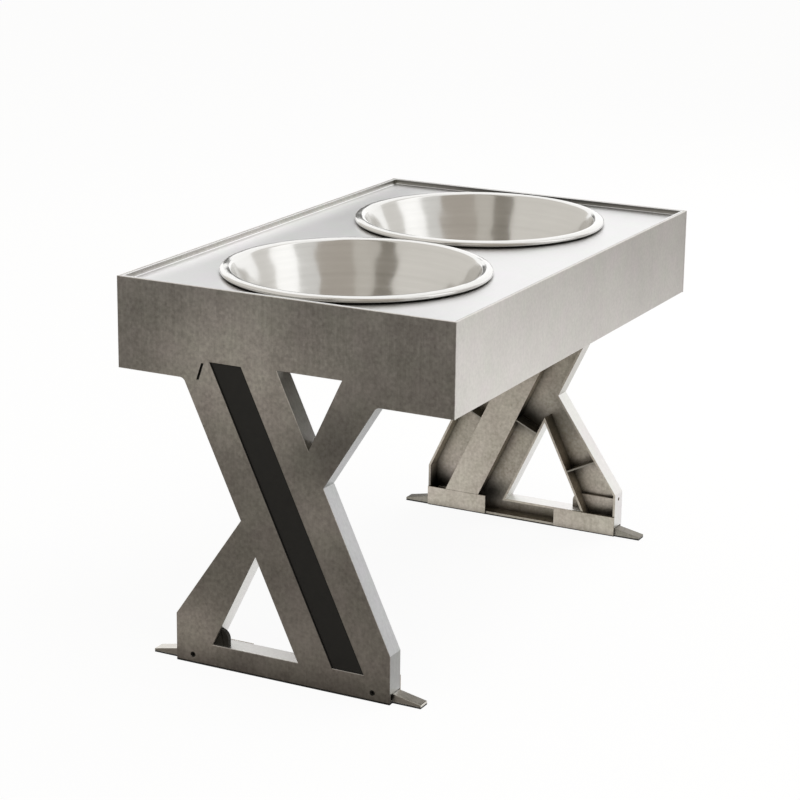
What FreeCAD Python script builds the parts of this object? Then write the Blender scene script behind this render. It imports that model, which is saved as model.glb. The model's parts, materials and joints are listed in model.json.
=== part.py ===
import FreeCAD, Part
import math
import os
import Sketcher

# Elevated dog bowl stand in folded sheet steel. X is the tray's width, Y its length, Z is up, and the
# origin is on the floor under the middle of the tray. Each end of the tray and the X-shaped leg below it
# are one sheet. Its flanges turn inwards round the leg, the two windows and the slanted slot.

Vector = FreeCAD.Vector
HALF_TURN = math.degrees(math.pi)
QUARTER_TURN = HALF_TURN / 2
FULL_TURN = 2 * HALF_TURN
SAME_PLACE = 1e-4
doc = FreeCAD.newDocument("BowlStand")
sheet = doc.addObject("Spreadsheet::Sheet", "Sizes")

# Driving sizes in millimetres: name, value, meaning. Widths of a leg are seen from outside its own end.
SIZES = (
    ("bowl_rim", 214.5, "outer diameter of a bowl's rolled lip"),
    ("bowl_gap", 8.0, "gap between the two lips"),
    ("end_margin", 11.5, "from a lip to the end of the tray"),
    ("side_margin", 37.75, "from a lip to the side of the tray"),
    ("lip_width", 8.5, "width of the rolled lip"),
    ("lip_rise", 5.5, "height of the rolled lip above the deck"),
    ("bowl_depth", 58.0, "from the deck's top to the underside of a bowl"),
    ("bowl_taper", 22.0, "how far the wall of a bowl leans in"),
    ("bowl_round", 16.0, "radius between the wall and bottom of a bowl"),
    ("bowl_sheet", 0.8, "sheet of a bowl"),
    ("bowl_clearance", 1.0, "between a bowl's mouth and its cut-out"),
    ("stand_height", 306.0, "floor to the top of the tray"),
    ("fascia_height", 73.0, "height of the tray's sides"),
    ("deck_drop", 4.0, "deck's top below the top of the tray"),
    ("deck_bend", 2.5, "inner radius of the deck's upturned edge"),
    ("deck_sheet", 2.0, "sheet of the deck"),
    ("panel_sheet", 2.0, "sheet of the end panels and side fascias"),
    ("fold_break", 0.3, "bevel along the folds and edges of those sheets"),
    ("strip_sheet", 1.5, "sheet of the strips, ribs and angles"),
    ("fit_gap", 0.2, "play between pieces that slip together"),
    ("side_return", 12.0, "inward fold along the bottom of a side fascia"),
    ("ledge_width", 14.0, "width of the angle under the deck"),
    ("ledge_end_gap", 22.0, "from the end of a ledge to the end panel"),
    ("angle_width", 15.0, "width of a corner angle"),
    ("angle_height", 40.0, "height of a corner angle"),
    ("angle_lift", 7.0, "corner angle above the bottom of the tray"),
    ("flange_depth", 17.0, "depth of a leg over its folded flanges"),
    ("leg_top_left", 86.0, "middle of the tray to the leg's left edge, at the fascia"),
    ("leg_top_right", 81.0, "middle of the tray to the leg's right edge, at the fascia"),
    ("leg_top_lap", 12.0, "leg's top above its windows, behind the fascia"),
    ("neck_round", 5.0, "radius where a leg's edge meets the fascia"),
    ("band_width", 90.0, "level width of the wide slanted band"),
    ("base_half", 95.0, "half of the width of a leg's base"),
    ("base_edge", 39.5, "floor to the top of the base's upright edge"),
    ("base_height", 18.7, "floor to the lower window"),
    ("window_rise", 16.7, "windows' top above the bottom of the fascia"),
    ("arm_top", 29.0, "level width of the narrow arm at the windows' top"),
    ("arm_base", 33.2, "level width of the narrow arm at the base"),
    ("notch_offset", 18.8, "outer notches above and below the crossing"),
    ("apex_offset", 46.2, "window tips above and below the crossing"),
    ("slot_margin", 31.0, "level width of metal left of the slot"),
    ("slot_width", 27.3, "level width of the slot"),
    ("slot_end_gap", 1.5, "slot's ends inside the windows' levels"),
    ("inlay_setback", 1.0, "inlay's face behind the leg's face"),
    ("cover_lap", 3.4, "level lap of the slot's cover past each side"),
    ("rail_length", 60.0, "length of each plate that closes the inner side of a leg's base"),
    ("slit_inset", 11.7, "relief slit from the leg's left edge"),
    ("slit_length", 13.7, "height of the relief slit"),
    ("slit_lean", 4.6, "sideways lean of the relief slit"),
    ("slit_width", 2.2, "width of the relief slit"),
    ("slit_depth", 1.4, "depth of the relief slit, which leaves a web of the sheet"),
    ("side_hole", 3.2, "diameter of the hole in the left flange"),
    ("side_hole_height", 34.0, "floor to the hole in the left flange"),
    ("left_rib_drop", 13.5, "left rib below the lower window's tip"),
    ("right_rib_drop", 53.5, "right rib below the crossing"),
    ("arm_rib_height", 54.0, "floor to the lower end of the rib in the narrow arm"),
    ("floor_strip", 1.3, "thickness of the rubber under a leg"),
    ("foot_reach", 24.0, "how far a foot stands out past the base"),
    ("foot_setback", 5.0, "foot behind the leg's face"),
    ("foot_depth", 11.0, "front to back of a foot"),
    ("foot_tip", 1.7, "thickness of a foot at its tip"),
    ("foot_root", 6.4, "thickness of a foot at the leg"),
    ("block_height", 14.0, "height of a foot's block inside the leg"),
    ("block_length", 26.0, "length of a foot's block inside the leg"),
    ("bracket_sheet", 4.0, "thickness of a foot's upright bracket"),
    ("bracket_inset", 5.0, "bracket's outer end from the base's edge"),
    ("bracket_length", 41.5, "length of a foot's bracket"),
    ("bracket_height", 29.2, "height of the bracket behind the window"),
    ("bracket_round", 8.0, "radius of the bracket's upper inner corner"),
    ("screw_inset", 15.0, "foot screw from the base's edge"),
    ("screw_height", 7.2, "floor to a foot screw"),
    ("screw_size", 4.4, "diameter of a headless foot screw"),
    ("screw_length", 10.6, "length of a foot screw"),
    ("screw_recess", 0.4, "foot screw's end below the leg's face"),
)

for row, (alias, value, meaning) in enumerate(SIZES, start=1):
    sheet.set(f"A{row}", meaning)
    sheet.set(f"B{row}", str(value))
    sheet.setAlias(f"B{row}", alias)
doc.recompute()

# Levels and half sizes of the tray, as expressions of the driving sizes
HALF_WIDTH = "(Sizes.bowl_rim / 2 + Sizes.side_margin)"
HALF_SPACING = "((Sizes.bowl_rim + Sizes.bowl_gap) / 2)"
HALF_LENGTH = f"({HALF_SPACING} + Sizes.bowl_rim / 2 + Sizes.end_margin)"
TRAY_TOP = "Sizes.stand_height"
TRAY_BOTTOM = "(Sizes.stand_height - Sizes.fascia_height)"
DECK_TOP = "(Sizes.stand_height - Sizes.deck_drop)"
DECK_UNDERSIDE = f"({DECK_TOP} - Sizes.deck_sheet)"
INNER_WIDTH = f"({HALF_WIDTH} - Sizes.panel_sheet)"
INNER_LENGTH = f"({HALF_LENGTH} - Sizes.panel_sheet)"

# A bowl's wall ends at the middle of its rolled lip, whose underside lies on the deck
LIP_LEVEL = f"({DECK_TOP} + Sizes.lip_rise / 2)"
WALL_HEIGHT = "(Sizes.bowl_depth + Sizes.lip_rise / 2)"

# Planes along Y, measured outwards from the middle of the tray
FACE = HALF_LENGTH
SHEET_BACK = INNER_LENGTH
FLANGE_BACK = f"({HALF_LENGTH} - Sizes.flange_depth)"

# Heights of a leg
FLOOR = "Sizes.floor_strip"
BOTTOM_FLANGE_TOP = f"({FLOOR} + Sizes.panel_sheet)"
WINDOW_TOP = f"({TRAY_BOTTOM} + Sizes.window_rise)"
LEG_TOP = f"({WINDOW_TOP} + Sizes.leg_top_lap)"
SLOT_TOP = f"({WINDOW_TOP} - Sizes.slot_end_gap)"
SLOT_BOTTOM = "(Sizes.base_height + Sizes.slot_end_gap)"
RAIL_TOP = "Sizes.base_height"
CROSSING = f"(({WINDOW_TOP} + Sizes.base_edge) / 2)"
UPPER_NOTCH = f"({CROSSING} + Sizes.notch_offset)"
LOWER_NOTCH = f"({CROSSING} - Sizes.notch_offset)"
UPPER_APEX = f"({CROSSING} + Sizes.apex_offset)"
LOWER_APEX = f"({CROSSING} - Sizes.apex_offset)"
NOTCH_TOP = f"({FLOOR} + Sizes.foot_root + 2 * Sizes.fit_gap)"

# The wide band runs from the leg's upper left to the lower right corner of its base
BAND_RUN = "(Sizes.base_half + Sizes.leg_top_left - Sizes.band_width)"
BAND_SLOPE = f"({BAND_RUN} / ({TRAY_BOTTOM} - Sizes.base_edge))"
BAND_STRETCH = f"sqrt(1 + {BAND_SLOPE}^2)"


def band_left(height):
    """Left edge of the wide band at a height."""
    return f"(-Sizes.leg_top_left + {BAND_SLOPE} * ({TRAY_BOTTOM} - {height}))"


def band_right(height):
    """Right edge of the wide band at a height."""
    return f"({band_left(height)} + Sizes.band_width)"


# The narrow arm runs from the band down to the lower left corner of the base, a little wider at its top
ARM_OUTER_SLOPE = f"(({band_left(LOWER_NOTCH)} + Sizes.base_half) / ({LOWER_NOTCH} - Sizes.base_edge))"
ARM_FOOT = "(Sizes.arm_base - Sizes.base_half)"
ARM_INNER_SLOPE = f"(({band_left(LOWER_APEX)} - {ARM_FOOT}) / ({LOWER_APEX} - Sizes.base_height))"


def arm_hollow_left(height):
    """Inside of the arm's outer flange at a height."""
    edge = f"({ARM_OUTER_SLOPE} * ({height} - Sizes.base_edge) - Sizes.base_half)"
    return f"({edge} + Sizes.panel_sheet * sqrt(1 + {ARM_OUTER_SLOPE}^2))"


def arm_hollow_right(height):
    """Inside of the arm's flange along the lower window at a height."""
    edge = f"({ARM_FOOT} + {ARM_INNER_SLOPE} * ({height} - Sizes.base_height))"
    return f"({edge} - Sizes.panel_sheet * sqrt(1 + {ARM_INNER_SLOPE}^2))"


def slot_left(height):
    """Left edge of the slot at a height."""
    return f"({band_left(height)} + Sizes.slot_margin)"


def slot_right(height):
    """Right edge of the slot at a height."""
    return f"({slot_left(height)} + Sizes.slot_width)"


def number(expression):
    """Value of an expression of the driving sizes."""
    return float(sheet.evalExpression(expression))


def new_body(node, turn=0):
    """Empty body for one piece; the rear end's pieces are turned half round about Z."""
    body = doc.addObject("PartDesign::Body", node)
    body.Label = node
    body.Placement = FreeCAD.Placement(Vector(0, 0, 0), FreeCAD.Rotation(Vector(0, 0, 1), turn))
    return body


def add_sketch(body, name, plane_role, offset):
    """Sketch on one of the body's own origin planes, moved along the plane's normal."""
    plane = next(feature for feature in body.Origin.OriginFeatures if feature.Role == plane_role)
    sketch = body.newObject("Sketcher::SketchObject", name)
    sketch.AttachmentSupport = (plane, [""])
    sketch.MapMode = "FlatFace"
    sketch.setExpression("AttachmentOffset.Base.z", offset)
    return sketch


def tie(sketch, kind, geometry, point, expression):
    """Hold one coordinate of a sketch point at an expression of the driving sizes."""
    constraint = Sketcher.Constraint(kind, -1, 1, geometry, point, number(expression))
    index = sketch.addConstraint(constraint)
    sketch.setExpression(f"Constraints[{index}]", expression)


def add_polygon(sketch, points):
    """Closed outline whose corners are tied to the driving sizes."""
    corners = [Vector(number(across), number(up), 0) for across, up in points]
    first = sketch.GeometryCount
    count = len(corners)
    for index, corner in enumerate(corners):
        sketch.addGeometry(Part.LineSegment(corner, corners[(index + 1) % count]))
    for index, (across, up) in enumerate(points):
        following = first + (index + 1) % count
        sketch.addConstraint(Sketcher.Constraint("Coincident", first + index, 2, following, 1))
        tie(sketch, "DistanceX", first + index, 1, across)
        tie(sketch, "DistanceY", first + index, 1, up)


def add_circle(sketch, across, up, radius):
    """Circle whose centre and radius are tied to the driving sizes."""
    centre = Vector(number(across), number(up), 0)
    index = sketch.addGeometry(Part.Circle(centre, Vector(0, 0, 1), number(radius)))
    tie(sketch, "DistanceX", index, 3, across)
    tie(sketch, "DistanceY", index, 3, up)
    constraint = sketch.addConstraint(Sketcher.Constraint("Radius", index, number(radius)))
    sketch.setExpression(f"Constraints[{constraint}]", radius)


def rectangle(left, bottom, right, top):
    """Corners of an upright rectangle."""
    return [(left, bottom), (right, bottom), (right, top), (left, top)]


def add_pad(body, name, sketch, length, against_normal=False):
    """Pad of a sketch, along its normal or against it."""
    pad = body.newObject("PartDesign::Pad", name)
    pad.Profile = sketch
    pad.setExpression("Length", length)
    pad.Reversed = against_normal
    sketch.Visibility = False
    return pad


def add_pocket(body, name, sketch, length):
    """Pocket of a sketch against its normal, which has to take material away."""
    doc.recompute()
    before = body.Shape.Volume
    pocket = body.newObject("PartDesign::Pocket", name)
    pocket.Profile = sketch
    pocket.setExpression("Length", length)
    doc.recompute()
    if body.Shape.Volume >= before:
        raise RuntimeError(f"{body.Label}: {name} cuts nothing")
    return pocket


def face_on(shape, axis, level):
    """Name of the largest flat face that lies square to an axis at a level."""
    found = []
    for index, face in enumerate(shape.Faces, start=1):
        box = face.BoundBox
        low = getattr(box, axis + "Min")
        high = getattr(box, axis + "Max")
        if abs(low - level) < SAME_PLACE and abs(high - level) < SAME_PLACE:
            found.append((face.Area, f"Face{index}"))
    return max(found)[1]


def edges_where(shape, test):
    """Names of the edges whose two ends both pass a test."""
    names = []
    for index, edge in enumerate(shape.Edges, start=1):
        ends = [vertex.Point for vertex in edge.Vertexes]
        if len(ends) == 2 and all(test(point) for point in ends):
            names.append(f"Edge{index}")
    return names


def add_shell(body, name, base, open_face, wall):
    """Hollow out a solid inwards to a wall, open at one face."""
    shell = body.newObject("PartDesign::Thickness", name)
    shell.Base = (base, [open_face])
    shell.setExpression("Value", wall)
    shell.Reversed = True
    shell.Mode = "Skin"
    shell.Join = "Intersection"
    doc.recompute()
    return shell


def add_fillet(body, name, base, edges, radius):
    """Round some edges of a feature."""
    fillet = body.newObject("PartDesign::Fillet", name)
    fillet.Base = (base, edges)
    fillet.setExpression("Radius", radius)
    doc.recompute()
    return fillet


def add_chamfer(body, name, base, edges, size):
    """Bevel some edges of a feature."""
    chamfer = body.newObject("PartDesign::Chamfer", name)
    chamfer.Base = (base, edges)
    chamfer.setExpression("Size", size)
    doc.recompute()
    return chamfer


def near(value, expression):
    """Whether a coordinate lies at an expression of the driving sizes."""
    return abs(value - number(expression)) < SAME_PLACE


# Outlines of a leg as seen from outside its own end

LEG_OUTLINE = [
    ("-Sizes.leg_top_left", LEG_TOP),
    ("-Sizes.leg_top_left", TRAY_BOTTOM),
    (band_left(LOWER_NOTCH), LOWER_NOTCH),
    ("-Sizes.base_half", "Sizes.base_edge"),
    ("-Sizes.base_half", FLOOR),
    ("Sizes.base_half", FLOOR),
    ("Sizes.base_half", "Sizes.base_edge"),
    (band_right(UPPER_NOTCH), UPPER_NOTCH),
    ("Sizes.leg_top_right", TRAY_BOTTOM),
    ("Sizes.leg_top_right", LEG_TOP),
]
UPPER_WINDOW = [
    (band_right(WINDOW_TOP), WINDOW_TOP),
    (band_right(UPPER_APEX), UPPER_APEX),
    ("(Sizes.leg_top_right - Sizes.arm_top)", WINDOW_TOP),
]
LOWER_WINDOW = [
    (band_left(LOWER_APEX), LOWER_APEX),
    ("(Sizes.arm_base - Sizes.base_half)", "Sizes.base_height"),
    (band_left("Sizes.base_height"), "Sizes.base_height"),
]
SLOT = [
    (slot_left(SLOT_TOP), SLOT_TOP),
    (slot_left(SLOT_BOTTOM), SLOT_BOTTOM),
    (slot_right(SLOT_BOTTOM), SLOT_BOTTOM),
    (slot_right(SLOT_TOP), SLOT_TOP),
]
FASCIA_OUTLINE = [
    (f"-{HALF_WIDTH}", TRAY_BOTTOM),
    ("-Sizes.leg_top_left", TRAY_BOTTOM),
    ("-Sizes.leg_top_left", LEG_TOP),
    ("Sizes.leg_top_right", LEG_TOP),
    ("Sizes.leg_top_right", TRAY_BOTTOM),
    (HALF_WIDTH, TRAY_BOTTOM),
    (HALF_WIDTH, TRAY_TOP),
    (f"-{HALF_WIDTH}", TRAY_TOP),
]
SLIT_LEFT = "(Sizes.slit_inset - Sizes.leg_top_left)"
SLIT_TOP = f"({TRAY_BOTTOM} + Sizes.slit_length)"
SLIT = [
    (SLIT_LEFT, TRAY_BOTTOM),
    (f"({SLIT_LEFT} + Sizes.slit_width)", TRAY_BOTTOM),
    (f"({SLIT_LEFT} + Sizes.slit_lean + Sizes.slit_width)", SLIT_TOP),
    (f"({SLIT_LEFT} + Sizes.slit_lean)", SLIT_TOP),
]
SCREW_ACROSS = "(Sizes.base_half - Sizes.screw_inset)"
SCREW_HOLE = "((Sizes.screw_size + Sizes.fit_gap) / 2)"
BRACKET_OUTER = "(Sizes.base_half - Sizes.bracket_inset)"
BRACKET_INNER = f"({BRACKET_OUTER} - Sizes.bracket_length)"
WINDOW_SIDE = -1
SLOT_SIDE = 1


def make_end_panel(node, turn):
    """End fascia and X leg as one folded sheet."""
    body = new_body(node, turn)
    leg = add_sketch(body, "LegOutline", "XZ_Plane", FACE)
    for outline in (LEG_OUTLINE, UPPER_WINDOW, LOWER_WINDOW, SLOT):
        add_polygon(leg, outline)
    block = add_pad(body, "LegBlock", leg, "Sizes.flange_depth", against_normal=True)
    doc.recompute()
    back = face_on(block.Shape, "Y", -number(FLANGE_BACK))
    add_shell(body, "LegFlanges", block, back, "Sizes.panel_sheet")

    fascia = add_sketch(body, "FasciaOutline", "XZ_Plane", FACE)
    add_polygon(fascia, FASCIA_OUTLINE)
    plate = add_pad(body, "FasciaSheet", fascia, "Sizes.panel_sheet", against_normal=True)
    doc.recompute()

    def at_neck(point):
        beside = near(point.x, "-Sizes.leg_top_left") or near(point.x, "Sizes.leg_top_right")
        in_sheet = near(point.y, f"-{FACE}") or near(point.y, f"-{SHEET_BACK}")
        return beside and in_sheet and near(point.z, TRAY_BOTTOM)

    def on_face(point):
        return near(point.y, f"-{FACE}")

    necks = add_fillet(body, "NeckRounds", plate, edges_where(plate.Shape, at_neck), "Sizes.neck_round")
    add_chamfer(body, "FaceFolds", necks, edges_where(necks.Shape, on_face), "Sizes.fold_break")

    slit = add_sketch(body, "SlitOutline", "XZ_Plane", FACE)
    add_polygon(slit, SLIT)
    add_pocket(body, "ReliefSlit", slit, "Sizes.slit_depth")

    screw_holes = add_sketch(body, "ScrewHoles", "XZ_Plane", FACE)
    for side in (WINDOW_SIDE, SLOT_SIDE):
        add_circle(screw_holes, f"{side} * {SCREW_ACROSS}", "Sizes.screw_height", SCREW_HOLE)
    add_pocket(body, "ScrewHoleCuts", screw_holes, "Sizes.panel_sheet")

    passages = add_sketch(body, "FootPassages", "XZ_Plane", SHEET_BACK)
    for side in (WINDOW_SIDE, SLOT_SIDE):
        inner = f"{side} * (Sizes.base_half - Sizes.panel_sheet)"
        outer = f"{side} * (Sizes.base_half + Sizes.panel_sheet)"
        add_polygon(passages, rectangle(inner, BOTTOM_FLANGE_TOP, outer, NOTCH_TOP))
    add_pocket(body, "FootNotches", passages, "Sizes.flange_depth")

    clearance = add_sketch(body, "BracketRoom", "XZ_Plane", SHEET_BACK)
    room_inner = f"-({BRACKET_INNER} - Sizes.fit_gap)"
    room_top = f"({BOTTOM_FLANGE_TOP} + Sizes.bracket_height + Sizes.fit_gap)"
    add_polygon(clearance, rectangle(f"-{BRACKET_OUTER}", BOTTOM_FLANGE_TOP, room_inner, room_top))
    add_pocket(body, "BracketSlot", clearance, "(Sizes.bracket_sheet + Sizes.fit_gap)")

    hole = add_sketch(body, "SideHole", "YZ_Plane", "(Sizes.panel_sheet - Sizes.base_half)")
    add_circle(hole, f"(Sizes.flange_depth / 2 - {FACE})", "Sizes.side_hole_height", "(Sizes.side_hole / 2)")
    add_pocket(body, "SideHoleCut", hole, "(Sizes.panel_sheet + Sizes.fit_gap)")
    return body


def make_slot_inlay(node, turn):
    """Black strip that fills the slot from just behind the leg's face to the cover."""
    body = new_body(node, turn)
    gap = "Sizes.fit_gap"
    top = f"({SLOT_TOP} - {gap})"
    bottom = f"({SLOT_BOTTOM} + {gap})"
    side_gap = f"{gap} * {BAND_STRETCH}"
    outline = add_sketch(body, "InlayOutline", "XZ_Plane", f"({FACE} - Sizes.inlay_setback)")
    add_polygon(outline, [
        (f"({slot_left(top)} + {side_gap})", top),
        (f"({slot_left(bottom)} + {side_gap})", bottom),
        (f"({slot_right(bottom)} - {side_gap})", bottom),
        (f"({slot_right(top)} - {side_gap})", top),
    ])
    add_pad(body, "Inlay", outline, "(Sizes.flange_depth - Sizes.inlay_setback)", against_normal=True)
    return body


def make_slot_cover(node, turn):
    """Strip that closes the slot on the inner side of the leg, from the base rail up."""
    body = new_body(node, turn)
    top = f"({SLOT_TOP} + Sizes.panel_sheet)"
    outline = add_sketch(body, "CoverOutline", "XZ_Plane", FLANGE_BACK)
    add_polygon(outline, [
        (f"({slot_left(top)} - Sizes.cover_lap)", top),
        (f"({slot_left(RAIL_TOP)} - Sizes.cover_lap)", RAIL_TOP),
        (f"({slot_right(RAIL_TOP)} + Sizes.cover_lap)", RAIL_TOP),
        (f"({slot_right(top)} + Sizes.cover_lap)", top),
    ])
    add_pad(body, "Cover", outline, "Sizes.strip_sheet", against_normal=True)
    return body


def make_base_plate(side):
    """One of the two plates that close a leg's base on its inner side, over the foot's block and bracket."""
    plate = doc.addObject("Part::Box", "BasePlate")
    plate.setExpression("Length", "Sizes.rail_length")
    plate.setExpression("Width", "Sizes.strip_sheet")
    plate.setExpression("Height", f"{RAIL_TOP} - {FLOOR}")
    middle = f"{side} * (Sizes.base_half - Sizes.rail_length / 2)"
    plate.setExpression("Placement.Base.x", f"{middle} - Sizes.rail_length / 2")
    plate.setExpression("Placement.Base.y", f"-{FLANGE_BACK}")
    plate.setExpression("Placement.Base.z", FLOOR)
    return plate


def make_floor_strip(node, turn):
    """Rubber under a leg's base, with narrower ends under the two feet."""
    body = new_body(node, turn)
    base_front = f"-{FACE}"
    base_back = f"-{FLANGE_BACK}"
    foot_front = f"(Sizes.foot_setback - {FACE})"
    foot_back = f"(Sizes.foot_setback + Sizes.foot_depth - {FACE})"
    base = "Sizes.base_half"
    tip = "(Sizes.base_half + Sizes.foot_reach)"
    outline = add_sketch(body, "StripOutline", "XY_Plane", "0")
    add_polygon(outline, [
        (f"-{base}", base_front),
        (base, base_front),
        (base, foot_front),
        (tip, foot_front),
        (tip, foot_back),
        (base, foot_back),
        (base, base_back),
        (f"-{base}", base_back),
        (f"-{base}", foot_back),
        (f"-{tip}", foot_back),
        (f"-{tip}", foot_front),
        (f"-{base}", foot_front),
    ])
    add_pad(body, "Strip", outline, "Sizes.floor_strip")
    return body


def make_foot(node, turn, side):
    """Wedge foot with its block and upright bracket inside the leg, held by one screw."""
    body = new_body(node, turn)
    tip = f"{side} * (Sizes.base_half + Sizes.foot_reach)"
    edge = f"{side} * (Sizes.base_half + Sizes.fit_gap)"
    block_outer = f"{side} * (Sizes.base_half - Sizes.panel_sheet - Sizes.fit_gap)"
    block_inner = f"{side} * (Sizes.base_half - Sizes.panel_sheet - Sizes.block_length)"
    root_top = f"({FLOOR} + Sizes.foot_root)"
    block_top = f"({FLOOR} + Sizes.block_height)"
    wedge = add_sketch(body, "WedgeOutline", "XZ_Plane", f"({FACE} - Sizes.foot_setback)")
    add_polygon(wedge, [
        (tip, FLOOR),
        (tip, f"({FLOOR} + Sizes.foot_tip)"),
        (edge, root_top),
        (block_outer, root_top),
        (block_outer, block_top),
        (block_inner, block_top),
        (block_inner, BOTTOM_FLANGE_TOP),
        (edge, BOTTOM_FLANGE_TOP),
        (edge, FLOOR),
    ])
    add_pad(body, "Wedge", wedge, "Sizes.foot_depth", against_normal=True)

    low_top = "(Sizes.base_height - Sizes.panel_sheet - Sizes.fit_gap)"
    tall_top = f"({BOTTOM_FLANGE_TOP} + Sizes.bracket_height)"
    bracket_top = tall_top if side == WINDOW_SIDE else low_top
    bracket = add_sketch(body, "BracketOutline", "XZ_Plane", SHEET_BACK)
    add_polygon(bracket, rectangle(f"{side} * {BRACKET_OUTER}", BOTTOM_FLANGE_TOP,
                                   f"{side} * {BRACKET_INNER}", bracket_top))
    plate = add_pad(body, "Bracket", bracket, "Sizes.bracket_sheet", against_normal=True)
    doc.recompute()

    def at_inner_corner(point):
        return near(point.x, f"{side} * {BRACKET_INNER}") and near(point.z, bracket_top)

    add_fillet(body, "BracketRound", plate, edges_where(plate.Shape, at_inner_corner), "Sizes.bracket_round")
    bore = add_sketch(body, "ScrewBore", "XZ_Plane", SHEET_BACK)
    add_circle(bore, f"{side} * {SCREW_ACROSS}", "Sizes.screw_height", SCREW_HOLE)
    bore_depth = "(Sizes.screw_recess + Sizes.screw_length - Sizes.panel_sheet + Sizes.fit_gap)"
    add_pocket(body, "ScrewBoreCut", bore, bore_depth)
    return body


def make_screw(side):
    """One headless foot screw, from just below the leg's face into the foot."""
    screw = doc.addObject("Part::Cylinder", "Screw")
    screw.setExpression("Radius", "Sizes.screw_size / 2")
    screw.setExpression("Height", "Sizes.screw_length")
    screw.Placement = FreeCAD.Placement(Vector(0, 0, 0), FreeCAD.Rotation(Vector(1, 0, 0), -QUARTER_TURN))
    screw.setExpression("Placement.Base.x", f"{side} * {SCREW_ACROSS}")
    screw.setExpression("Placement.Base.y", f"Sizes.screw_recess - {FACE}")
    screw.setExpression("Placement.Base.z", "Sizes.screw_height")
    return screw


def make_group(node, turn, pieces):
    """Like pieces that share one node."""
    group = doc.addObject("Part::Compound", node)
    group.Label = node
    group.Links = pieces
    group.Placement = FreeCAD.Placement(Vector(0, 0, 0), FreeCAD.Rotation(Vector(0, 0, 1), turn))
    return group


def make_rib(start_across, start_height, level_width):
    """Cross rib square to the wide band, between two of the leg's slanted flanges."""
    rib = doc.addObject("Part::Box", "Rib")
    rib.setExpression("Length", f"{level_width} / {BAND_STRETCH} - 2 * Sizes.panel_sheet")
    rib.setExpression("Width", "Sizes.flange_depth - Sizes.panel_sheet")
    rib.setExpression("Height", "Sizes.strip_sheet")
    rib.Placement = FreeCAD.Placement(Vector(0, 0, 0), FreeCAD.Rotation(Vector(0, -1, 0), 1))
    rib.setExpression("Placement.Rotation.Angle", f"atan({BAND_SLOPE})")
    rib.setExpression("Placement.Base.x", f"{start_across} + Sizes.panel_sheet / {BAND_STRETCH}")
    rib.setExpression("Placement.Base.y", f"-{SHEET_BACK}")
    lift = f"Sizes.panel_sheet * {BAND_SLOPE} / {BAND_STRETCH}"
    rib.setExpression("Placement.Base.z", f"{start_height} + {lift}")
    return rib


def arm_rib_line(height):
    """A line square to the lower window's edge across the arm's hollow: its right and left ends."""
    run = f"({arm_hollow_right(height)} - {arm_hollow_left(height)})"
    reach = f"({run} / (1 + {ARM_OUTER_SLOPE} * {ARM_INNER_SLOPE}))"
    right_end = (arm_hollow_right(height), height)
    left_end = (f"({arm_hollow_right(height)} - {reach})", f"({height} + {ARM_INNER_SLOPE} * {reach})")
    return right_end, left_end


def make_arm_rib():
    """Cross rib in the hollow of the narrow arm."""
    body = new_body("ArmRib")
    lower_right, lower_left = arm_rib_line("Sizes.arm_rib_height")
    rise = f"(Sizes.strip_sheet / sqrt(1 + {ARM_INNER_SLOPE}^2))"
    upper_right, upper_left = arm_rib_line(f"(Sizes.arm_rib_height + {rise})")
    outline = add_sketch(body, "RibOutline", "XZ_Plane", SHEET_BACK)
    add_polygon(outline, [lower_right, upper_right, upper_left, lower_left])
    add_pad(body, "Rib", outline, "(Sizes.flange_depth - Sizes.panel_sheet)", against_normal=True)
    return body


def make_leg_ribs(node, turn):
    """The three cross ribs in the hollow of a leg, one each side of the slot and one in the narrow arm."""
    left_height = f"({LOWER_APEX} - Sizes.left_rib_drop)"
    right_height = f"({CROSSING} - Sizes.right_rib_drop)"
    right_margin = "(Sizes.band_width - Sizes.slot_margin - Sizes.slot_width)"
    ribs = [
        make_rib(band_left(left_height), left_height, "Sizes.slot_margin"),
        make_rib(slot_right(right_height), right_height, right_margin),
        make_arm_rib(),
    ]
    return make_group(node, turn, ribs)


def make_side_fascia(node, turn):
    """Long side of the tray with an inward fold along its bottom."""
    body = new_body(node, turn)
    fold_in = f"({HALF_WIDTH} - Sizes.side_return)"
    fold_top = f"({TRAY_BOTTOM} + Sizes.panel_sheet)"
    profile = add_sketch(body, "FasciaProfile", "XZ_Plane", INNER_LENGTH)
    add_polygon(profile, [
        (HALF_WIDTH, TRAY_BOTTOM),
        (HALF_WIDTH, TRAY_TOP),
        (INNER_WIDTH, TRAY_TOP),
        (INNER_WIDTH, fold_top),
        (fold_in, fold_top),
        (fold_in, TRAY_BOTTOM),
    ])
    fascia = add_pad(body, "Fascia", profile, f"2 * {INNER_LENGTH}", against_normal=True)
    doc.recompute()

    def on_outer_top(point):
        return near(point.x, HALF_WIDTH) and near(point.z, TRAY_TOP)

    def on_outer_bottom(point):
        return near(point.x, HALF_WIDTH) and near(point.z, TRAY_BOTTOM)

    outer_edges = edges_where(fascia.Shape, on_outer_top) + edges_where(fascia.Shape, on_outer_bottom)
    add_chamfer(body, "FasciaFolds", fascia, outer_edges, "Sizes.fold_break")
    return body


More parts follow.
